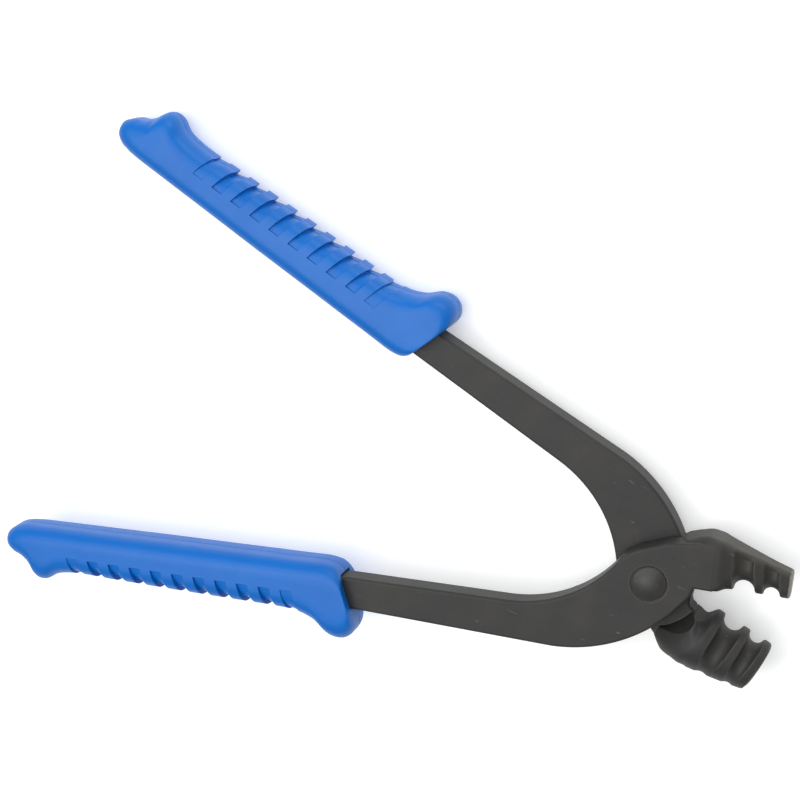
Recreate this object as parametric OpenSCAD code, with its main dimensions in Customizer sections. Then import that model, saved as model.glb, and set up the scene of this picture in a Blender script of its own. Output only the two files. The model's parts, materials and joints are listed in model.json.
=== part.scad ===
// Tube bending pliers: two forged arms that cross at one rivet, grooved jaws, slip-on grips.
// The arms are stacked flat on each other at the joint, front arm on the +Z side.

/* [Opening] */
// Angle between the two jaws as drawn, in degrees
jaw_opening = 24.6; // [0.5:0.1:26]

/* [Arms] */
// Thickness of each forged arm
arm_t = 8; // [7:0.5:9]
// Gap between the two arms where they cross
arm_gap = 0.3; // [0.2:0.1:0.5]
// Distance from the pivot line to the inner edge of a straight handle
handle_in = 11.75; // [11:0.25:12.5]
// Width of the straight handle next to the bend
handle_w = 13; // [12.5:0.25:13.5]
// Width of the steel tang at its hidden end
tang_w = 6; // [5:0.5:8]
// Distance from the pivot to the hidden end of the tang
tang_end = 205; // [195:1:208]
// Angle between the front handle and the jaw line, in degrees
front_droop = 2.7; // [2:0.1:4]
// Angle between the rear handle and the jaw line, in degrees
rear_droop = 3.6; // [2:0.1:4]

/* [Jaws] */
// Distance from the pivot to the tip of the jaws
jaw_reach = 41.5; // [40:0.5:43]
// Distance from the pivot line to the front jaw's lands
front_land = 0.95; // [0.9:0.05:1.2]
// How far the rear jaw's lands reach past the pivot line
rear_land = 1.95; // [1.8:0.05:2]
// Radius of the round front jaw at its tip
tip_r = 4.25; // [4:0.05:4.5]
// How much the front jaw's radius grows for each millimetre towards the pivot
jaw_taper = 0.156; // [0.14:0.002:0.16]
// Radius of the wide rear former at its tip
former_r = 8.1; // [7.9:0.05:8.3]
// How much that radius grows for each millimetre towards the pivot
former_taper = 0.126; // [0.12:0.002:0.13]

/* [Tube grooves] */
// Distance from the pivot to the large groove
big_x = 28.1; // [27.5:0.1:28.5]
// Radius of the large groove, for a 6.35 mm tube
big_r = 3.3; // [3.2:0.05:3.4]
// Distance from the pivot to the small groove
small_x = 36.3; // [36:0.1:36.8]
// Radius of the small groove, for a 4.76 mm tube
small_r = 2.5; // [2.4:0.05:2.6]

/* [Pivot rivet] */
// Radius of the rivet's shank
rivet_r = 4; // [3.5:0.25:4.5]
// Radius of the rivet's head
head_r = 5.5; // [5.3:0.1:5.8]
// Height of the domed head above the arm
head_h = 1.3; // [1:0.1:1.6]
// Radial running clearance of the shank in the rear arm
rivet_clear = 0.05; // [0.02:0.01:0.1]

/* [Grips] */
// Distance from the pivot to the front end of the front grip
front_grip_at = 98; // [97:0.25:99]
// Distance from the pivot to the front end of the rear grip
rear_grip_at = 100; // [99:0.25:101]
// Thickness of a grip
grip_t = 17; // [16:0.5:18]
// Rounding of the long inner edges of a grip
grip_round = 4.5; // [3:0.5:6]
// Number of finger recesses along a grip
recess_n = 11; // [9:1:11]
// Distance between finger recesses
recess_pitch = 7.5; // [7.3:0.1:7.5]
// Depth of a finger recess
recess_depth = 1.6; // [1:0.1:2]

/* [Hidden] */
$fn = 64;
half_open = jaw_opening / 2;
half_gap = arm_gap / 2;
face_z = half_gap + arm_t;

// Pivot axis, measured from the middle of the tool's footprint and from its lowest face
pivot_x = 82.42;
pivot_y = -1.75;
pivot_z = half_gap + arm_t / 2 + grip_t / 2;

// Circles that the inner and outer edges of an arm follow round the bend
bend_in_r = 42;
bend_in_x = 44;
bend_out_r = 50;
bend_out_x = 29;
bend_steps = 14;

// The other arm's boss turns inside this radius
boss_clear_r = 15.8;
throat_x = 17;
root_x = 22;
root_depth = 6;
ridge_low = -3;
ridge_w = 5.5;
shoulder_x = 12.5;
shoulder_r = 4;
shoulder_end_r = 10.2;
former_x = 21;
// Depth left of each groove at the back of a jaw
back_depth = 0.6;
shoulder_low = -8;
shoulder_t = 13;
ring_w = 0.5;
ring_depth = 0.4;
// Long enough to cut right through any piece
reach = 60;

function arc(c, r, a0, a1) =
    [for (i = [0:bend_steps]) let (a = a0 + (a1 - a0) * i / bend_steps) c + r * [cos(a), sin(a)]];

// A point given along the handle and outwards from it, turned into the arm's own frame
function on_handle(droop, along, out) =
    [-along * cos(droop) + out * sin(droop), -along * sin(droop) - out * cos(droop)];

// Outer edge of the straight handle, which tapers from the bend to the end of the tang
function tang_edge(along) = handle_in + handle_w
    - (handle_w - tang_w) * (along - bend_out_x) / (tang_end - bend_out_x);

function bar_r(x, tip, taper) = tip + (jaw_reach - x) * taper;

// Arm frame: pivot at the origin, jaw towards +X, its own handle below and behind
module arm_outline(droop, spine) {
    c_in = on_handle(droop, bend_in_x, handle_in - bend_in_r);
    c_out = on_handle(droop, bend_out_x, handle_in + handle_w - bend_out_r);
    polygon(concat(
        [on_handle(droop, tang_end, tang_edge(tang_end)), on_handle(droop, tang_end, handle_in)],
        arc(c_in, bend_in_r, -90 + droop, -35),
        [[-9.3, 7], [-5.3, 9.8], [-1.2, 11.5], [3.8, 13.6]],
        spine,
        [[13.6, 0.7], [12.8, -1.9], [7.6, -8.9]],
        arc(c_out, bend_out_r, -50, -90 + droop)
    ));
}

// Everything at or past x, towards the tip
module beyond(x) { translate([x, -reach, -reach]) cube(2 * reach); }

module boss_clearance() { translate([0, 0, -reach]) cylinder(h = 2 * reach, r = boss_clear_r); }

// Ring shaped cut round a jaw of radius bar, deepest on the land side, shallow at the back
module ring_groove(x, land, bar, r) {
    aside = (r - back_depth) / 2;
    translate([x, land + bar + aside, 0]) rotate([0, 90, 0])
        rotate_extrude() translate([bar + aside, 0]) circle(r);
}

// Tapered round bar whose lowest line is the jaw's land, with a ring groove for each tube
module round_jaw(from, land, tip, taper) {
    root_r = bar_r(from, tip, taper);
    tilt = atan(taper);
    length = (jaw_reach - from) / cos(tilt);
    difference() {
        translate([from, land + root_r, 0]) rotate([0, 0, -tilt]) rotate([0, 90, 0])
            cylinder(h = length + 2, r1 = root_r, r2 = tip - 2 * sin(tilt));
        beyond(jaw_reach);
        for (g = [[big_x, big_r], [small_x, small_r]])
            ring_groove(g[0], land, bar_r(g[0], tip, taper), g[1]);
    }
}

// Narrow ridge that closes the ring grooves along the back of the front jaw
module front_jaw_ridge() {
    back = root_x - 1;
    translate([0, 0, ridge_low]) linear_extrude(ridge_w) polygon([
        [back, front_land + bar_r(back, tip_r, jaw_taper)], [back, 16.4],
        [jaw_reach - 0.8, front_land + 2 * tip_r + 0.3], [jaw_reach, front_land + 2 * tip_r - 0.6],
        [jaw_reach, front_land + tip_r]
    ]);
}

// Worn block that joins the round jaw to the flat arm, cut back clear of the rear arm's boss
module front_jaw_root() {
    difference() {
        translate([0, 0, -root_depth]) linear_extrude(root_depth + half_gap + 1) polygon([
            [8.2, 12], [8.2, 14], [11.1, 14.7], [14, 16.6], [19.4, 16.6], [root_x, 15.6],
            [root_x, front_land], [throat_x, front_land]
        ]);
        boss_clearance();
    }
}

module rear_jaw_body() {
    root_r = bar_r(former_x, former_r, former_taper);
    difference() {
        union() {
            round_jaw(former_x, -rear_land, former_r, former_taper);
            // sloping shoulder between the flat arm and the wide former
            translate([shoulder_x, root_r - rear_land, 0]) rotate([0, 90, 0])
                cylinder(h = former_x - shoulder_x, r1 = shoulder_r, r2 = shoulder_end_r);
            translate([0, 0, shoulder_low]) linear_extrude(shoulder_t) polygon([
                [shoulder_x, 8], [shoulder_x, 17.4], [15, 18.2], [root_x + 2, 15.5], [root_x + 2, 8]
            ]);
        }
        boss_clearance();
    }
}

front_spine = [
    [8.5, 14.8], [11.1, 14.8], [14, 15.8], [19.4, 15.9], [root_x, 15.1],
    [root_x, 2.9], [20.8, 1.2], [20.2, 0.9]
];
rear_spine = [[8.5, 15.4], [11.5, 17], [14, 18.3], [17, 18.3], [root_x, 17], [root_x, 1.8], [14.6, 1.5]];

module place_front() { translate([pivot_x, pivot_y, pivot_z]) rotate([0, 0, half_open]) children(); }
module place_rear() {
    translate([pivot_x, pivot_y, pivot_z]) rotate([0, 0, -half_open]) mirror([0, 1, 0]) children();
}

module front_arm() {
    color([0.2, 0.2, 0.2]) place_front() difference() {
        union() {
            translate([0, 0, half_gap]) linear_extrude(arm_t) arm_outline(front_droop, front_spine);
            front_jaw_root();
            round_jaw(throat_x, front_land, tip_r, jaw_taper);
            front_jaw_ridge();
        }
        translate([0, 0, -reach]) cylinder(h = 2 * reach, r = rivet_r);
        // turned ring left around the riveted head
        translate([0, 0, face_z - ring_depth]) rotate_extrude()
            translate([head_r + rivet_clear, 0]) square([ring_w, 1]);
    }
}

module rear_arm() {
    color([0.2, 0.2, 0.2]) place_rear() difference() {
        union() {
            translate([0, 0, -face_z]) linear_extrude(arm_t) arm_outline(rear_droop, rear_spine);
            rear_jaw_body();
        }
        translate([0, 0, -reach]) cylinder(h = 2 * reach, r = rivet_r + rivet_clear);
    }
}

module rivet_head() {
    dome_r = 2.2 * head_r;
    rotate_extrude() intersection() {
        translate([0, head_h - dome_r]) circle(dome_r);
        square([head_r, head_h]);
    }
}

module pivot_rivet() {
    color([0.3, 0.3, 0.3]) translate([pivot_x, pivot_y, pivot_z]) {
        translate([0, 0, -face_z - rivet_clear]) cylinder(h = 2 * face_z + rivet_clear, r = rivet_r);
        translate([0, 0, face_z]) rivet_head();
        translate([0, 0, -face_z - rivet_clear]) mirror([0, 0, 1]) rivet_head();
    }
}

// Grip outline: along the handle from the grip's front end, and outwards from the pivot line
function grip_outline() = concat(
    [[0, 12.4], [0.2, 10.6], [1.6, 9.2], [4.4, 8.3]],
    [[108, 9.5], [112.5, 9.9], [115.8, 11.8], [118.2, 15.2], [118.4, 18.2], [116, 20.2]],
    [[109.6, 21.4], [107.2, 25.4], [104.4, 26.8], [100.4, 26.6], [92, 24.9], [60, 25.3], [13, 26]],
    [[6.6, 28.8], [2.6, 31.6], [-0.6, 32.2], [-3.4, 31], [-5.2, 27.5], [-5.6, 22.6], [-3.6, 17]]
);

// Cross-section of the rounded bar that the grip's outline is cut from
module grip_section(outer) {
    inner = 8.3;
    flat = grip_t - 2 * grip_round;
    for (s = [-1, 1], y = [inner + grip_round, outer - grip_round])
        translate([y, s * flat / 2]) circle(grip_round);
    translate([inner, -flat / 2]) square([outer - inner, flat]);
    translate([inner + grip_round, -grip_t / 2]) square([outer - inner - 2 * grip_round, grip_t]);
}

module grip_bar(from, to, outer) {
    translate([from, 0, 0]) rotate([90, 0, 90]) linear_extrude(to - from) grip_section(outer);
}

// Handle frame: X runs along the handle from the pivot, Y outwards from it
module grip_body(at) {
    recess_from = 15;
    recess_run = 3.4;
    guard = 11;
    difference() {
        intersection() {
            translate([at, 0, -grip_t / 2]) linear_extrude(grip_t) polygon(grip_outline());
            union() {
                grip_bar(at + guard, at + 2 * reach, 26.9);
                grip_bar(at - guard, at + guard, 32.3);
            }
        }
        // pocket for the steel tang, open at the front end
        translate([0, 0, -arm_t / 2]) linear_extrude(arm_t) polygon([
            [at - 10, tang_edge(at - 10)], [at - 10, handle_in],
            [tang_end, handle_in], [tang_end, tang_edge(tang_end)]
        ]);
        // finger recesses, each with a sharp wall on the butt side
        for (i = [0:recess_n - 1]) translate([at + recess_from + i * recess_pitch, 0, -grip_t / 2 - 1])
            linear_extrude(grip_t + 2) polygon([
                [0, 26.6 - i * 0.1], [recess_run, 25.6 - recess_depth], [recess_run + 0.4, 27]
            ]);
    }
}

module front_grip() {
    color([0.05, 0.35, 0.8]) place_front() translate([0, 0, half_gap + arm_t / 2])
        rotate([0, 0, 180 + front_droop]) grip_body(front_grip_at);
}

module rear_grip() {
    color([0.05, 0.35, 0.8]) place_rear() translate([0, 0, -half_gap - arm_t / 2])
        rotate([0, 0, 180 + rear_droop]) grip_body(rear_grip_at);
}

front_arm();
rear_arm();
pivot_rivet();
front_grip();
rear_grip();
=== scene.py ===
"""Looks for the tube bending pliers: forged black arms, a peened rivet and moulded blue grips."""

import json
import math

import bmesh
import bpy
from mathutils import Matrix, Vector


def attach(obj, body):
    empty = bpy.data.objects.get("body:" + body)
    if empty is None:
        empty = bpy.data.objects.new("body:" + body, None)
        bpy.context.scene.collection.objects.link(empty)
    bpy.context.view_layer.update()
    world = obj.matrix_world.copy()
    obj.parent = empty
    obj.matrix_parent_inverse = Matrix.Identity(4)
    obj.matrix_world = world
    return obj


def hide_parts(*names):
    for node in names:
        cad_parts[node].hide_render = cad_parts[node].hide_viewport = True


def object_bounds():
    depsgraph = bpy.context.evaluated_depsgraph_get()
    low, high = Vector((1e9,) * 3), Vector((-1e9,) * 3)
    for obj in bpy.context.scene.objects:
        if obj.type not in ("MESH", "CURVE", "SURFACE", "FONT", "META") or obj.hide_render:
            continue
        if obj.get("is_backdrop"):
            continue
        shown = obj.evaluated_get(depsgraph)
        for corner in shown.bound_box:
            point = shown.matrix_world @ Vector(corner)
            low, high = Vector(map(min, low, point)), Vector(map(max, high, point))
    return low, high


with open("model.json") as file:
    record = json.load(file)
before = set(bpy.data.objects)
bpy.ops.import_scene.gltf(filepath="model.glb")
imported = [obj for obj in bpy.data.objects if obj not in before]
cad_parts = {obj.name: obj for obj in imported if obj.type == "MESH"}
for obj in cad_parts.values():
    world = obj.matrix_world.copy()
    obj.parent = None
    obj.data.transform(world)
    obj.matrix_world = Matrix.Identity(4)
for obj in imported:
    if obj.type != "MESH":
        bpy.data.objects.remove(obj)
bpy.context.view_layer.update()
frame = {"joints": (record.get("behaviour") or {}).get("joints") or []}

MM = 0.001
joint = frame["joints"][0]
PIVOT = Vector(joint["pos_m"])
HALF_OPEN = math.radians(12.3)
Z_AXIS = Vector((0, 0, 1))

# Each half of the tool: the names of its body and CAD nodes, which side of the jaw line its handle is on
# and the angle between them, how far out the handle's steel starts, where its grip begins and how far the
# grip is shifted outwards, then its first finger recess and their number; lengths in millimetres
FRONT = {
    "body": "front_half", "arm": "front_arm", "grip": "front_grip", "side": 1, "droop": math.radians(2.7),
    "inner": 11.7, "grip_along": 97.4, "grip_out": -0.25, "first_wall": 16.6, "recesses": 11,
}
REAR = {
    "body": "rear_half", "arm": "rear_arm", "grip": "rear_grip", "side": -1, "droop": math.radians(3.6),
    "inner": 11.5, "grip_along": 100, "grip_out": -0.1, "first_wall": 18.5, "recesses": 10,
}


# ---------------------------------------------------------------- materials

NOISE_ROUGHNESS = 0.55
BEVEL_SAMPLES = 6
EDGE_WEAR_MM = 1.1
NICK_STRETCH = ((0, 0, 0.35), (0.25, 1.0, 1.0))
OXIDE_SPECULAR = 0.36
OXIDE_GREY = (0.024, 0.024, 0.024)
OXIDE_BROWN = (0.033, 0.0315, 0.027)
OXIDE_DARK = (0.018, 0.018, 0.018)
RUBBED_EDGE = (0.095, 0.088, 0.070)
NICK = (0.16, 0.155, 0.14)
BARE_TIP = (0.26, 0.25, 0.21)
WORN_RIDGE = (0.085, 0.078, 0.058)
BLUE_SPECULAR = 0.32
BLUE_DEEP = (0.0, 0.124, 0.490)
BLUE_LIGHT = (0.0, 0.136, 0.525)
BLUE_DUST = (0.06, 0.24, 0.62)


class Wire:
    """A node's output that can be used in Python expressions."""

    def __init__(self, finish, socket):
        self.finish, self.socket = finish, socket

    def _math(self, operation, first, second):
        return self.finish.node("Math", {"operation": operation}, {0: first, 1: second})

    def __add__(self, other):
        return self._math("ADD", self, other)

    def __radd__(self, other):
        return self._math("ADD", other, self)

    def __sub__(self, other):
        return self._math("SUBTRACT", self, other)

    def __rsub__(self, other):
        return self._math("SUBTRACT", other, self)

    def __mul__(self, other):
        return self._math("MULTIPLY", self, other)

    def __rmul__(self, other):
        return self._math("MULTIPLY", other, self)


class Finish:
    """One procedural material, built a node at a time."""

    def __init__(self, name, specular):
        self.material = bpy.data.materials.new(name)
        self.material.use_nodes = True
        self.tree = self.material.node_tree
        self.tree.nodes.clear()
        self.shader = self.tree.nodes.new("ShaderNodeBsdfPrincipled")
        out = self.tree.nodes.new("ShaderNodeOutputMaterial")
        self.tree.links.new(self.shader.outputs[0], out.inputs[0])
        self.set("Specular IOR Level", specular)
        self.place = self.node("TexCoord", {}, {}, "Object")

    def _feed(self, socket, value):
        if isinstance(value, Wire):
            self.tree.links.new(value.socket, socket)
        else:
            socket.default_value = value

    def set(self, name, value):
        self._feed(self.shader.inputs[name], value)

    def node(self, kind, settings, sockets, out=0):
        """Adds a node of that kind, sets it up, then gives its sockets their values or links."""
        made = self.tree.nodes.new("ShaderNode" + kind)
        for key, value in settings.items():
            setattr(made, key, value)
        for key, value in sockets.items():
            self._feed(made.inputs[key], value)
        return Wire(self, made.outputs[out])

    def noise(self, size_mm, detail, stretch=None):
        """Noise from 0 to 1 with blobs about that size; stretch is a turn and a scale."""
        where = self.place
        if stretch:
            turned, scaled = stretch
            where = self.node("Mapping", {}, {"Vector": where, "Rotation": turned, "Scale": scaled})
        return self.node(
            "TexNoise",
            {"noise_dimensions": "3D"},
            {"Vector": where, "Scale": 1 / (size_mm * MM), "Detail": detail, "Roughness": NOISE_ROUGHNESS},
        )

    def step(self, value, low, high):
        """0 below low, 1 above high."""
        bounds = {"Value": value, "From Min": low, "From Max": high}
        return self.node("MapRange", {"interpolation_type": "SMOOTHSTEP"}, bounds)

    def blend(self, amount, first, second):
        """Colour mix; a colour is given as three numbers or a wire."""
        first, second = [c if isinstance(c, Wire) else (*c, 1.0) for c in (first, second)]
        return self.node("Mix", {"data_type": "RGBA"}, {0: amount, 6: first, 7: second}, 2)

    def rounded(self, radius_mm):
        """The surface's direction with its edges rounded by that much."""
        return self.node("Bevel", {"samples": BEVEL_SAMPLES}, {"Radius": radius_mm * MM})

    def edges(self, radius_mm):
        """How far the surface turns within that radius: 0 on a flat, larger on a sharp edge."""
        own_normal = self.node("NewGeometry", {}, {}, "Normal")
        operation = {"operation": "DOT_PRODUCT"}
        return 1.0 - self.node("VectorMath", operation, {0: self.rounded(radius_mm), 1: own_normal}, 1)

    def relief(self, height, depth_mm, round_mm):
        """Feeds a height pattern into the shader's normal, over edges rounded by that much."""
        bump = {"Height": height, "Distance": depth_mm * MM, "Strength": 1.0}
        self.set("Normal", self.node("Bump", {}, {**bump, "Normal": self.rounded(round_mm)}))


def black_oxide(name, shade=1.0, rough=0.46, tip=None):
    """Forged steel under black oxide: mottled, faintly brown, rubbed bright along the edges.

    With the tip's angle given, the jaw that points that way is rubbed bare at its tip and along its back.
    """
    steel = Finish(name, OXIDE_SPECULAR)
    cloud = steel.noise(14, 4)
    patch = steel.noise(3.5, 3)
    grain = steel.noise(0.45, 2)
    grey, brown = [[shade * part for part in colour] for colour in (OXIDE_GREY, OXIDE_BROWN)]
    tint = steel.blend(steel.step(cloud, 0.35, 0.7), grey, brown)
    tint = steel.blend(steel.step(patch, 0.45, 0.75) * 0.45, tint, OXIDE_DARK)
    rubbed = steel.step(steel.edges(EDGE_WEAR_MM) * (0.35 + patch * 1.3), 0.02, 0.16)
    tint = steel.blend(rubbed * 0.75, tint, RUBBED_EDGE)
    nicks = steel.step(steel.noise(1.3, 2, NICK_STRETCH), 0.70, 0.76)
    tint = steel.blend(nicks * 0.35, tint, NICK)
    if tip:
        jaw_frame = {"Vector": steel.place, "Location": PIVOT, "Rotation": (0, 0, tip)}
        turned = steel.node("Mapping", {"vector_type": "TEXTURE"}, jaw_frame)
        along = steel.node("SeparateXYZ", {}, {0: turned}, "X")
        across = steel.node("SeparateXYZ", {}, {0: turned}, "Y")
        end = steel.step(along + patch * 0.0008, 0.0413, 0.0418)
        tint = steel.blend(end * 0.85, tint, BARE_TIP)
        back_line = steel.step(across + along * 0.35 + patch * 0.0016, 0.0232, 0.0250)
        ridge = back_line * steel.step(along, 0.010, 0.014)
        tint = steel.blend(ridge * steel.step(cloud, 0.2, 0.6) * 0.6, tint, WORN_RIDGE)
    steel.set("Base Color", tint)
    steel.set("Roughness", rough + grain * 0.16 - rubbed * 0.08)
    steel.relief(cloud * 0.5 + patch * 0.35 + grain * 0.15, 0.12, 0.35)
    return steel.material


def moulded_blue(name):
    """Satin blue plastic with the fine orange-peel of a moulding."""
    plastic = Finish(name, BLUE_SPECULAR)
    cloud = plastic.noise(22, 3)
    peel = plastic.noise(0.6, 2)
    flow = plastic.noise(5, 3)
    tint = plastic.blend(plastic.step(cloud, 0.3, 0.7), BLUE_DEEP, BLUE_LIGHT)
    dust = plastic.step(plastic.noise(0.9, 1), 0.74, 0.80)
    tint = plastic.blend(dust * 0.35, tint, BLUE_DUST)
    plastic.set("Base Color", tint)
    plastic.set("Roughness", 0.33 + flow * 0.10 + peel * 0.05)
    plastic.relief(peel * 0.35 + flow * 0.65, 0.09, 0.25)
    return plastic.material


STEEL = black_oxide("black_oxide_steel")
FRONT_STEEL = black_oxide("black_oxide_steel_rubbed_tip", tip=HALF_OPEN)
RIVET_STEEL = black_oxide("peened_rivet_steel", 1.15, 0.32)
BLUE = moulded_blue("moulded_blue_plastic")


# ---------------------------------------------------------------- mesh helpers


def as_object(shape, name):
    mesh = bpy.data.meshes.new(name)
    shape.to_mesh(mesh)
    shape.free()
    made = bpy.data.objects.new(name, mesh)
    bpy.context.scene.collection.objects.link(made)
    return made


def piece(name, shape, material, body, node):
    """Turns a bmesh into a finished piece that rides on a body and stands for a CAD node."""
    bmesh.ops.recalc_face_normals(shape, faces=shape.faces)
    made = as_object(shape, name)
    made.data.materials.append(material)
    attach(made, body)
    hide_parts(node)
    return made


def smooth_by_angle(made, degrees):
    """Smooth shading that keeps edges sharper than that."""
    mesh = made.data
    mesh.polygons.foreach_set("use_smooth", [True] * len(mesh.polygons))
    sharp = bmesh.new()
    sharp.from_mesh(mesh)
    for edge in sharp.edges:
        edge.smooth = len(edge.link_faces) == 2 and edge.calc_face_angle() < math.radians(degrees)
    sharp.to_mesh(mesh)
    sharp.free()


def carve(body, tool, operation="DIFFERENCE"):
    """Cuts or joins one object with another, as a bmesh; both objects are used up."""
    cut = body.modifiers.new("cut", "BOOLEAN")
    cut.operation, cut.solver, cut.object = operation, "EXACT", tool
    bpy.context.view_layer.update()
    shape = bmesh.new()
    shape.from_object(body, bpy.context.evaluated_depsgraph_get())
    for used in (body, tool):
        mesh = used.data
        bpy.data.objects.remove(used)
        bpy.data.meshes.remove(mesh)
    return shape


WELD = 0.001 * MM
CORNER_STEPS = 6
FULLEST_ROUND = 0.96
SEAM_HALF = 0.13
SEAM_DEPTH = 0.22
SEAM_SHARE = 0.1


def section(half_width, half_thick, r_inner, r_outer, steps, seam_depth=0.0):
    """Points round a rounded bar's section, with a fine seam down the middle of its two edges."""
    points = []
    fullest = FULLEST_ROUND * min(half_width, half_thick)
    r_inner, r_outer = min(r_inner, fullest), min(r_outer, fullest)
    for sx, sz, start in ((1, 1, 0), (-1, 1, 90), (-1, -1, 180), (1, -1, 270)):
        r, far_r = (r_outer, r_inner) if sx > 0 else (r_inner, r_outer)
        centre = (sx * (half_width - r), sz * (half_thick - r))
        for k in range(steps + 1):
            angle = math.radians(start + 90 * k / steps)
            points.append((centre[0] + r * math.cos(angle), centre[1] + r * math.sin(angle)))
        if start in (0, 180):
            end = -sx * (half_width - far_r)
            points += [(centre[0] + (end - centre[0]) * f, sz * half_thick) for f in (0.25, 0.5, 0.75)]
        else:
            seam = min(SEAM_HALF, SEAM_SHARE * half_thick)
            deep = min(seam_depth, SEAM_SHARE * half_thick)
            across = abs(centre[1]) * 0.5
            for z in (-across, -seam, 0, seam, across):
                points.append((sx * (half_width - (0 if z else deep)), z if sx > 0 else -z))
    return points


def smooth_rows(rows, gap, far):
    """Rows at about that spacing on a smooth curve through the given ones."""
    rows = [rows[0], *rows, rows[-1]]
    made = []
    for p0, p1, p2, p3 in zip(rows, rows[1:], rows[2:], rows[3:]):
        steps = max(2, math.ceil(far(p1, p2) / gap))
        for k in range(steps):
            t = k / steps
            made.append([
                0.5 * (2 * q1 + (q2 - q0) * t + (2 * q0 - 5 * q1 + 4 * q2 - q3) * t**2
                       + (3 * q1 - q0 - 3 * q2 + q3) * t**3)
                for q0, q1, q2, q3 in zip(p0, p1, p2, p3)
            ])
    return made + [list(rows[-1])]


def loft(rings):
    """A closed skin over rings of points in millimetres."""
    shape = bmesh.new()
    previous = None
    for points in rings:
        ring = bmesh.ops.create_circle(shape, segments=len(points), radius=1)["verts"]
        for vert, point in zip(ring, points):
            vert.co = Vector(point) * MM
        edges = list({edge for vert in ring for edge in vert.link_edges})
        if previous:
            bmesh.ops.bridge_loops(shape, edges=previous + edges)
        else:
            bmesh.ops.contextual_create(shape, geom=edges)
        previous = edges
    bmesh.ops.contextual_create(shape, geom=previous)
    bmesh.ops.recalc_face_normals(shape, faces=shape.faces)
    return shape


# ---------------------------------------------------------------- arms

# An arm's own frame, in millimetres: pivot at the origin, jaw towards +X, its handle below and behind.
PLATE = 8.0
HALF_GAP = 0.15
HANDLE_WIDE = 13.0
TANG_WIDE = 6.0
TANG_END = 205.0
BEND_IN_X, BEND_IN_R, BEND_IN_END = 44.0, 42.0, math.radians(-35)
BEND_OUT_X, BEND_OUT_R, BEND_OUT_END = 29.0, 50.0, math.radians(-50)
BEND_STEPS = 28
BOSS_CURVE = [(-9.3, 7.0), (-5.3, 9.8), (-1.2, 11.5), (3.8, 13.6)]
FRONT_SPINE = [(11.1, 14.8), (14.0, 15.3), (17.0, 15.0), (18.8, 13.4), (19.2, 11.5), (19.2, 0.9)]
REAR_SPINE = [(8.5, 15.4), (11.5, 16.8), (14.0, 17.8), (16.8, 17.4), (16.8, 3.0), (16.0, 2.2), (14.6, 1.9)]
THROAT = [(13.6, 0.8), (12.8, -1.9), (7.6, -8.9)]
RIM_ROUND = 0.9
RIM_STEPS = 4
FLAT_FACING = 0.9
FACE_Z = HALF_GAP + PLATE
ARM_SMOOTH = 30
BAR_SIDES = 64

RIVET_R = 4.0
BORE_PLAY = 0.05
BORE_LENGTH = 40
SEAT_PLAY = 0.3
SEAT_DEPTH = 0.35
SEAT_HEIGHT = 4
HEAD_R = 5.5
HEAD_RIM = HEAD_R - 0.1
HEAD_H = 1.3
RIVET_SMOOTH = 40

# The room in the rear arm that the front arm's boss turns in, a cone that opens out upwards
ROOM_LOW, ROOM_LOW_R = -0.2, 15.9
ROOM_HEIGHT, ROOM_HIGH_R = 11, 19.2
ROOM_SIDES = 128

# Rows along a jaw: x, then where its land side and its back are, its lowest and highest z, and its two
# corner rounds, on the land side and at the back
FRONT_JAW = [
    (7.8, 13.9, 14.4, -3.0, 3.0, 0.2, 0.2),
    (9.0, 13.2, 14.9, -5.0, 5.5, 0.3, 0.8),
    (10.6, 12.0, 15.4, -6.0, 7.0, 0.4, 2.0),
    (12.2, 10.5, 16.2, -6.1, 7.6, 0.4, 3.2),
    (14.0, 7.8, 16.9, -6.2, 7.9, 0.5, 3.6),
    (15.6, 3.8, 17.2, -6.3, 8.0, 0.6, 3.4),
    (16.6, 1.6, 17.25, -6.4, 8.05, 1.0, 3.4),
    (18.4, 1.1, 17.0, -6.5, 8.1, 1.2, 3.5),
    (20.2, 0.95, 16.6, -6.6, 7.95, 1.6, 3.6),
    (21.4, 1.15, 16.2, -6.7, 7.7, 2.6, 3.7),
    (22.6, 1.3, 15.8, -6.7, 7.4, 4.2, 3.6),
    (23.9, 1.0, 15.4, -6.6, 7.1, 5.6, 3.4),
    (25.0, 0.9, 15.0, -6.4, 6.85, 5.9, 3.2),
    (33.0, 0.85, 12.3, -5.0, 5.3, 4.8, 2.8),
    (40.8, 0.85, 9.6, -3.8, 3.9, 3.4, 2.0),
    (41.4, 1.05, 9.2, -3.6, 3.6, 3.2, 1.8),
    (41.8, 1.6, 8.7, -3.0, 3.0, 2.6, 1.5),
]
REAR_JAW = [
    (10.0, 12.6, 16.0, -6.5, 0.6, 0.8, 1.0),
    (12.0, 10.8, 17.2, -7.6, 2.8, 1.0, 2.4),
    (14.0, 7.6, 18.2, -8.0, 5.2, 1.2, 4.4),
    (16.0, 2.8, 18.4, -8.2, 7.3, 1.4, 6.4),
    (17.6, 2.2, 18.3, -8.6, 8.6, 2.4, 7.6),
    (19.2, 2.1, 18.2, -9.2, 9.4, 4.6, 8.6),
    (20.4, 1.4, 18.2, -9.7, 9.9, 7.0, 9.0),
    (21.4, -0.4, 18.2, -10.0, 10.1, 8.8, 9.4),
    (22.0, -1.4, 18.2, -10.1, 10.2, 9.6, 9.6),
    (22.7, -2.0, 18.2, -10.2, 10.2, 10.2, 9.8),
    (24.5, -2.0, 18.1, -10.1, 10.1, 10.1, 9.8),
    (34.0, -2.0, 16.2, -9.1, 9.1, 9.1, 8.8),
    (40.2, -2.0, 14.5, -8.2, 8.2, 8.2, 7.4),
    (41.0, -1.85, 13.7, -8.0, 8.0, 8.0, 6.8),
    (41.5, -1.4, 12.2, -7.2, 7.2, 7.2, 5.8),
]
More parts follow.
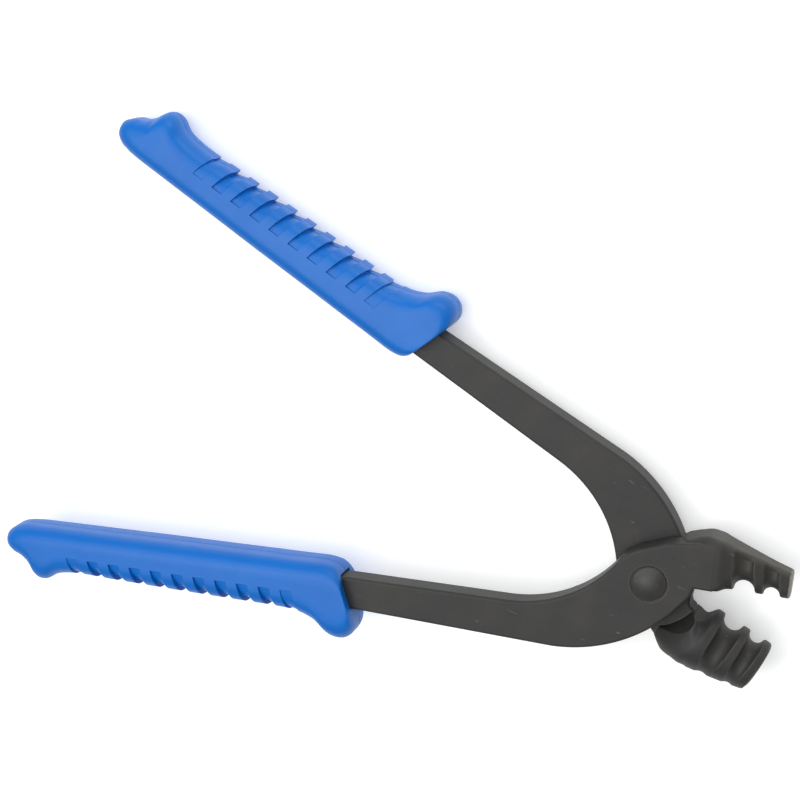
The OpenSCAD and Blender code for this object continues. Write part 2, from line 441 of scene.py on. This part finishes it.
# Each tube groove: its distance from the pivot, its radius, and how deep it still is at the jaw's back
FRONT_GROOVES = [(28.1, 3.3, 0.0), (36.3, 2.5, 0.0)]
REAR_GROOVES = [(28.1, 3.3, 0.3), (36.3, 2.5, 0.3)]
# The rounded lip of a groove: how far outside its edge, and how deep there
LIP = [(0.5, 0.0), (0.2, 0.05), (0.0, 0.3)]
RING_CLEAR = 0.1
GROOVE_STEPS = 14
JAW_RING_GAP = 0.5
JAW_CORNER_STEPS = 12
# Where a groove that stops short of the back fades out, as shares of the jaw's half width
FADE_FROM, FADE_RUN = 0.76, 0.22
# The front jaw's grooves lean over a little: how much, and where along the jaw that comes and goes
FRONT_LEAN = -0.085
LEAN_FROM, LEAN_TO, LEAN_EASE = 20, 41.6, 4


def on_handle(droop, along, out):
    """A point along the handle and outwards from it, in the arm's frame."""
    return (
        -along * math.cos(droop) + out * math.sin(droop),
        -along * math.sin(droop) - out * math.cos(droop),
    )


def bend(centre, radius, first, last):
    angles = [first + (last - first) * k / BEND_STEPS for k in range(BEND_STEPS + 1)]
    return [(centre[0] + radius * math.cos(a), centre[1] + radius * math.sin(a)) for a in angles]


def flat_arm(arm, spine, low):
    """The forged bar: its outline given the plate's thickness, with its long corners rounded over."""
    droop, near = arm["droop"], arm["inner"]
    square = droop - math.pi / 2
    inner_centre = on_handle(droop, BEND_IN_X, near - BEND_IN_R)
    outer_centre = on_handle(droop, BEND_OUT_X, near + HANDLE_WIDE - BEND_OUT_R)
    outline = [
        on_handle(droop, TANG_END, near + TANG_WIDE),
        on_handle(droop, TANG_END, near),
        *bend(inner_centre, BEND_IN_R, square, BEND_IN_END),
        *BOSS_CURVE, *spine, *THROAT,
        *bend(outer_centre, BEND_OUT_R, BEND_OUT_END, square),
    ]
    shape = bmesh.new()
    ring = bmesh.ops.create_circle(shape, segments=len(outline), radius=1, cap_ends=True)["verts"]
    for vert, (x, y) in zip(ring, outline):
        vert.co = Vector((x, y, low)) * MM
    lifted = bmesh.ops.extrude_face_region(shape, geom=list(shape.faces))["geom"]
    top = [v for v in lifted if isinstance(v, bmesh.types.BMVert)]
    bmesh.ops.translate(shape, verts=top, vec=(0, 0, PLATE * MM))
    bmesh.ops.recalc_face_normals(shape, faces=shape.faces)
    shape.normal_update()
    rims = [e for e in shape.edges if any(abs(f.normal.z) > FLAT_FACING for f in e.link_faces)]
    bmesh.ops.bevel(
        shape, geom=rims, offset=RIM_ROUND * MM, offset_type="OFFSET", segments=RIM_STEPS, profile=0.5,
        affect="EDGES", clamp_overlap=False, material=-1,
    )
    return shape


def round_bar(height, radius, low, high_radius=None, sides=BAR_SIDES):
    """A round bar or cone along Z that starts at low."""
    shape = bmesh.new()
    made = bmesh.ops.create_cone(
        shape, cap_ends=True, segments=sides, radius1=radius * MM, radius2=(high_radius or radius) * MM,
        depth=height * MM,
    )
    bmesh.ops.translate(shape, verts=made["verts"], vec=(0, 0, (low + height / 2) * MM))
    return shape


def groove_stops(grooves):
    """Where rings are needed across each groove, and how deep it is there."""
    stops = []
    for x, r, at_back in grooves:
        for aside, deep in LIP:
            stops += [(x - r - aside, deep, r, at_back), (x + r + aside, deep, r, at_back)]
        for k in range(1, GROOVE_STEPS):
            angle = math.pi * k / GROOVE_STEPS
            deep = r * math.sin(angle)
            if deep > LIP[-1][1] + RING_CLEAR:
                stops.append((x - r * math.cos(angle), deep, r, at_back))
    return stops


def jaw(rows, grooves, lean):
    """A jaw lofted along X, with its tube grooves drawn in round its land side, top and bottom."""
    fine = smooth_rows(rows, JAW_RING_GAP, lambda p, q: abs(q[0] - p[0]))
    plain = [
        (row[0], 0.0, 0.0, 0.0) for row in fine
        if not any(abs(row[0] - x) < r + LIP[0][0] + RING_CLEAR for x, r, _ in grooves)
    ]
    rings = []
    for x, deep, r, at_back in sorted(groove_stops(grooves) + plain):
        upper = next((k for k, row in enumerate(fine) if row[0] >= x - 1e-9), len(fine) - 1)
        before, after = fine[max(0, upper - 1)], fine[upper]
        part = 0.0 if after[0] == before[0] else (x - before[0]) / (after[0] - before[0])
        _, near, back, low, high, r_in, r_out = [a + (b - a) * part for a, b in zip(before, after)]
        half, thick = (back - near) / 2, (high - low) / 2
        middle = (near + back) / 2
        aside = (r - at_back) / 2
        tilt = lean * min(1.0, max(0.0, (x - LEAN_FROM) / LEAN_EASE), max(0.0, (LEAN_TO - x) / LEAN_EASE))
        ring = []
        for u, w in section(half, thick, r_in, r_out, JAW_CORNER_STEPS):
            if deep:
                # drawn in towards a line set back from the jaw's own, so the groove fades out behind
                spread = half / thick
                reach = math.hypot(u - aside, w * spread)
                shrink = min(1.0, (half + aside - deep) / reach)
                if not at_back:
                    kept = min(1.0, max(0.0, (u / half - FADE_FROM) / FADE_RUN))
                    shrink += (1.0 - shrink) * kept * kept * (3 - 2 * kept)
                u, w = aside + (u - aside) * shrink, w * shrink
            y = middle + u
            ring.append((x + tilt * (y - near), y, (low + high) / 2 + w))
        rings.append(ring)
    return loft(rings)


def half_place(arm):
    """From a half's own frame, jaw along X and handle below, to where that half stands when posed."""
    return (
        Matrix.Translation(PIVOT)
        @ Matrix.Rotation(arm["side"] * HALF_OPEN, 4, Z_AXIS)
        @ Matrix.Diagonal((1, arm["side"], 1, 1))
    )


def forged_arm(name, arm, material, spine, low, jaw_shape, bores):
    """A forged arm: flat bar and jaw in one piece, bored for the rivet."""
    bar = as_object(flat_arm(arm, spine, low), "bar")
    shape = carve(bar, as_object(jaw_shape, "jaw"), "UNION")
    for bore in bores:
        shape = carve(as_object(shape, "arm"), as_object(bore, "bore"))
    bmesh.ops.remove_doubles(shape, verts=shape.verts, dist=WELD)
    bmesh.ops.transform(shape, matrix=half_place(arm), verts=shape.verts)
    made = piece(name, shape, material, arm["body"], arm["arm"])
    smooth_by_angle(made, ARM_SMOOTH)
    made.modifiers.new("even_normals", "WEIGHTED_NORMAL").keep_sharp = True


forged_arm(
    "front_arm_forged", FRONT, FRONT_STEEL, FRONT_SPINE, HALF_GAP,
    jaw(FRONT_JAW, FRONT_GROOVES, FRONT_LEAN),
    [
        round_bar(BORE_LENGTH, RIVET_R, -BORE_LENGTH / 2),
        round_bar(SEAT_HEIGHT, HEAD_R + SEAT_PLAY, FACE_Z - SEAT_DEPTH),
    ],
)

boss_room = round_bar(ROOM_HEIGHT, ROOM_LOW_R, ROOM_LOW, ROOM_HIGH_R, ROOM_SIDES)
forged_arm(
    "rear_arm_forged", REAR, STEEL, REAR_SPINE, -FACE_Z,
    carve(as_object(jaw(REAR_JAW, REAR_GROOVES, 0.0), "jaw"), as_object(boss_room, "room")),
    [round_bar(BORE_LENGTH, RIVET_R + BORE_PLAY, -BORE_LENGTH / 2)],
)

# The rivet's outline from the top of one head to the foot of the other. A dome is given as shares of the
# rim's radius; its height falls off with their squares.
TOP_DOME = (0.0, 0.15, 0.3, 0.45, 0.6, 0.72, 0.83)
TOP_RIM = [(0.92, 0.28), (0.98, 0.1), (1.0, -0.1), (1.0, -SEAT_DEPTH)]
UNDER_DOME = (0.92, 0.8, 0.65, 0.5, 0.3, 0.15, 0.0)
UNDER_FACE = -FACE_Z - 0.05
UNDER_RIM = 0.15
UNDER_LIP = 0.02


def rivet():
    """Shank and two domed heads, turned as one round bar; the heads' rims are rounded over."""
    profile = [(HEAD_RIM * f, FACE_Z + HEAD_H * (1 - f * f)) for f in TOP_DOME]
    profile += [(HEAD_RIM * f, FACE_Z + z) for f, z in TOP_RIM]
    profile += [
        (RIVET_R, FACE_Z - SEAT_DEPTH), (RIVET_R, UNDER_FACE),
        (HEAD_RIM, UNDER_FACE), (HEAD_RIM, UNDER_FACE - UNDER_RIM),
    ]
    profile += [(HEAD_RIM * f, UNDER_FACE - HEAD_H * (1 - f * f) - UNDER_LIP) for f in UNDER_DOME]
    shape = bmesh.new()
    verts = [shape.verts.new(Vector((x, 0, z)) * MM) for x, z in profile]
    edges = [shape.edges.new(pair) for pair in zip(verts, verts[1:])]
    bmesh.ops.spin(
        shape, geom=[*verts, *edges], cent=(0, 0, 0), axis=(0, 0, 1), dvec=(0, 0, 0), angle=2 * math.pi,
        steps=BAR_SIDES, use_merge=True, use_normal_flip=False, use_duplicate=False,
    )
    bmesh.ops.remove_doubles(shape, verts=shape.verts, dist=WELD)
    bmesh.ops.translate(shape, verts=shape.verts, vec=PIVOT)
    return shape


pivot_rivet = piece("pivot_rivet_peened", rivet(), RIVET_STEEL, "front_half", "pivot_rivet")
smooth_by_angle(pivot_rivet, RIVET_SMOOTH)


# ---------------------------------------------------------------- grips

# Stations along a grip: where its inner and outer edges are, as millimetres along the handle from the
# grip's front end and outwards from the pivot line, then half its thickness there and its two corner
# rounds, on the inner and on the outer side.
GRIP_STATIONS = [
    ((0.0, 13.6), (-2.8, 21.4), 7.1, 3.4, 3.4),
    ((0.0, 12.7), (-3.7, 22.8), 7.9, 4.0, 4.4),
    ((0.5, 11.2), (-4.6, 25.6), 8.4, 4.4, 5.2),
    ((1.4, 9.9), (-4.8, 28.8), 8.5, 4.6, 5.8),
    ((3.0, 8.8), (-2.9, 31.7), 8.5, 4.6, 6.2),
    ((5.8, 8.2), (0.2, 32.8), 8.5, 4.6, 6.4),
    ((9.0, 8.1), (4.0, 31.7), 8.5, 4.6, 6.4),
    ((13.0, 8.2), (8.2, 28.0), 8.5, 4.6, 6.2),
    ((18.0, 8.3), (14.0, 25.6), 8.5, 4.6, 5.8),
    ((25.0, 8.35), (22.0, 24.8), 8.5, 4.6, 5.4),
    ((40.0, 8.55), (38.0, 24.7), 8.4, 4.6, 5.4),
    ((60.0, 8.75), (58.0, 24.5), 8.3, 4.6, 5.4),
    ((80.0, 9.05), (79.0, 24.2), 8.1, 4.6, 5.4),
    ((92.0, 9.2), (91.0, 24.0), 8.0, 4.6, 5.6),
    ((99.0, 9.3), (98.5, 25.0), 7.9, 4.6, 5.8),
    ((103.0, 9.35), (103.2, 27.6), 7.9, 4.6, 6.0),
    ((106.5, 9.4), (106.8, 27.3), 7.8, 4.6, 7.0),
    ((109.0, 9.45), (109.6, 23.2), 7.7, 4.8, 7.2),
    ((111.5, 9.6), (112.2, 20.6), 7.5, 5.0, 6.4),
    ((114.0, 10.2), (114.6, 19.5), 7.0, 5.0, 5.6),
    ((116.3, 11.7), (116.6, 17.9), 5.7, 4.0, 4.2),
    ((117.5, 13.2), (117.6, 16.7), 3.8, 2.0, 2.0),
    ((118.0, 14.6), (118.0, 15.6), 1.0, 0.5, 0.5),
]
STATION_GAP = 0.9
GRIP_SMOOTH = 32

# Finger recesses: each has one steep wall, on the butt's side, and a floor that ramps up away from it
RECESS_PITCH = 7.49
RECESS_RUN = 3.75
RECESS_END = 17.7
RECESS_SLANT = 0.26
RECESS_CHEVRON = 0.10
RECESS_FLOOR = 1.55
RECESS_RAMP = 0.24
RECESS_OVER = 1.9
FAINT_RECESS = 0.45
INNER_DEPTH = 0.4
INNER_RUN = 4
OUTER_EDGE = 25.0
BLOCK_OUT = 45.0
BLOCK_DEEP = 30

# The hole the steel enters, a little larger than the steel, so that a thin dark gap shows round it
MOUTH_SIZE = Vector((16, 10.9, 8.6))
MOUTH_AT = Vector((-5.6, 16.8, 0))


def flatten(station):
    (a, b), (c, d), *rest = station
    return [a, b, c, d, *rest]


def grip_body():
    """The grip in the handle's frame, in metres."""
    rows = smooth_rows(
        [flatten(r) for r in GRIP_STATIONS], STATION_GAP,
        lambda p, q: max(math.dist(p[:2], q[:2]), math.dist(p[2:4], q[2:4])),
    )
    rings = []
    for ax, ay, bx, by, thick, r_in, r_out in rows:
        inner, outer = Vector((ax, ay)), Vector((bx, by))
        middle, across = (inner + outer) / 2, (outer - inner).normalized()
        points = section((outer - inner).length / 2, thick, r_in, r_out, CORNER_STEPS, SEAM_DEPTH)
        rings.append([(*(middle + across * u), w) for u, w in points])
    return loft(rings)


def slant(out, z):
    """How far a recess's wall leans towards the butt at that place."""
    return RECESS_SLANT * (OUTER_EDGE - out) + RECESS_CHEVRON * abs(z)


def recess_core(first_wall, count):
    """The grip's body drawn in to the floors of its finger recesses."""
    shape = grip_body()
    shape.normal_update()
    moves = []
    for vert in shape.verts:
        x, y, z = vert.co / MM
        back = (first_wall + RECESS_OVER - (x - slant(y, z))) % RECESS_PITCH - RECESS_OVER
        number = round((x - slant(y, z) - first_wall) / RECESS_PITCH)
        part = FAINT_RECESS if number <= 0 or number >= count - 1 else 1.0
        part *= INNER_DEPTH + (1 - INNER_DEPTH) * min(1.0, max(0.0, (y - RECESS_END) / INNER_RUN))
        moves.append(-vert.normal * (RECESS_FLOOR - RECESS_RAMP * max(0, back)) * part * MM)
    for vert, move in zip(shape.verts, moves):
        vert.co += move
    return shape


def recess_blocks(first_wall, count):
    """Slanted blocks that stand where the finger recesses are."""
    shape = bmesh.new()
    for k in range(count):
        block = bmesh.ops.create_cube(shape, size=1)["verts"]
        upright = [e for e in shape.edges if e.verts[0] in block and e.verts[0].co.z != e.verts[1].co.z]
        bmesh.ops.subdivide_edges(shape, edges=upright, cuts=1)
        for vert in [v for v in shape.verts if not v.tag]:
            vert.tag = True
            y = RECESS_END if vert.co.y < 0 else BLOCK_OUT
            z = vert.co.z * BLOCK_DEEP
            x = first_wall + k * RECESS_PITCH - (RECESS_RUN if vert.co.x < 0 else 0) + slant(y, z)
            vert.co = Vector((x, y, z)) * MM
    bmesh.ops.recalc_face_normals(shape, faces=shape.faces)
    return shape


def mouth_block():
    shape = bmesh.new()
    block = bmesh.ops.create_cube(shape, size=1)["verts"]
    bmesh.ops.scale(shape, verts=block, vec=MOUTH_SIZE * MM)
    bmesh.ops.translate(shape, verts=block, vec=MOUTH_AT * MM)
    return shape


def grip_place(arm):
    """From a grip's frame, X along the handle and Y outwards from the pivot line, to where it stands."""
    return (
        half_place(arm)
        @ Matrix.Translation((0, 0, arm["side"] * (HALF_GAP + PLATE / 2) * MM))
        @ Matrix.Rotation(math.pi + arm["droop"], 4, Z_AXIS)
        @ Matrix.Translation((arm["grip_along"] * MM, arm["grip_out"] * MM, 0))
    )


def moulded_grip(name, arm):
    """A slip-on grip: recesses cut no deeper than the drawn-in core, and a hole for the steel."""
    wall, count = arm["first_wall"], arm["recesses"]
    blocks = as_object(recess_blocks(wall, count), "blocks")
    recesses = carve(blocks, as_object(recess_core(wall, count), "core"))
    shape = carve(as_object(grip_body(), "grip"), as_object(recesses, "recesses"))
    shape = carve(as_object(shape, "grip"), as_object(mouth_block(), "mouth"))
    bmesh.ops.transform(shape, matrix=grip_place(arm), verts=shape.verts)
    smooth_by_angle(piece(name, shape, BLUE, arm["body"], arm["grip"]), GRIP_SMOOTH)


moulded_grip("front_grip_moulded", FRONT)
moulded_grip("rear_grip_moulded", REAR)


# ---------------------------------------------------------------- stage, light and camera


FLOOR_HALF = 3
FLOOR_DROP = 0.3
FLOOR_PAINT = (0.86, 0.87, 0.87, 1)
FLOOR_GLOW = 0.35
WORLD_GLOW = 0.35
WHITE = (1, 1, 1, 1)
# Each soft light: its place, what it is aimed at, its width, its height and its power
LIGHTS = {
    "key": ((-0.28, 0.05, 1.0), (-0.02, 0.05, 0), 1.3, 1.1, 10),
    "sparkle": ((-0.35, -0.25, 1.1), (0, 0, 0), 0.25, 0.25, 1.2),
    "far_side": ((0.1, 1.1, 0.45), (0, 0, 0), 0.9, 0.4, 4),
}
LENS, SENSOR = 90, 36
CAMERA_FROM_PIVOT = Vector((0.028, 0.2152, 0.5821))
CAMERA_BACK = Vector((0.19276, 0.30773, 0.93175))
CAMERA_RIGHT = Vector((0.91334, 0.29083, -0.28500))


def soft_light(name, where, aim, width, height, power):
    lamp = bpy.data.lights.new(name, "AREA")
    lamp.shape, lamp.size, lamp.size_y = "RECTANGLE", width, height
    lamp.energy = power
    made = bpy.data.objects.new(name, lamp)
    made.location = where
    made.rotation_mode = "QUATERNION"
    made.rotation_quaternion = (Vector(aim) - Vector(where)).to_track_quat("-Z", "Y")
    bpy.context.scene.collection.objects.link(made)


def pale_floor():
    shape = bmesh.new()
    bmesh.ops.create_grid(shape, x_segments=1, y_segments=1, size=FLOOR_HALF)
    bmesh.ops.translate(shape, verts=shape.verts, vec=(0, 0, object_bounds()[0].z - FLOOR_DROP * MM))
    floor = as_object(shape, "floor")
    paint = Finish("pale_floor", 0.1)
    paint.set("Roughness", 0.9)
    paint.set("Base Color", FLOOR_PAINT)
    paint.set("Emission Color", WHITE)
    paint.set("Emission Strength", FLOOR_GLOW)
    floor.data.materials.append(paint.material)
    floor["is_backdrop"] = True


def aimed_camera():
    """A long lens over the tool, turned by its own right and back directions."""
    data = bpy.data.cameras.new("camera")
    data.lens, data.sensor_width = LENS, SENSOR
    made = bpy.data.objects.new("camera", data)
    bpy.context.scene.collection.objects.link(made)
    back = CAMERA_BACK.normalized()
    right = (CAMERA_RIGHT - CAMERA_RIGHT.dot(back) * back).normalized()
    turn = Matrix((right, back.cross(right), back)).transposed().to_4x4()
    made.matrix_world = Matrix.Translation(PIVOT + CAMERA_FROM_PIVOT) @ turn
    return made


pale_floor()
for name, setting in LIGHTS.items():
    soft_light(name, *setting)
world = bpy.data.worlds.new("studio")
world.use_nodes = True
background = world.node_tree.nodes["Background"]
background.inputs["Color"].default_value = WHITE
background.inputs["Strength"].default_value = WORLD_GLOW
bpy.context.scene.world = world
bpy.context.scene.camera = aimed_camera()
bpy.context.scene.view_settings.view_transform = "Standard"
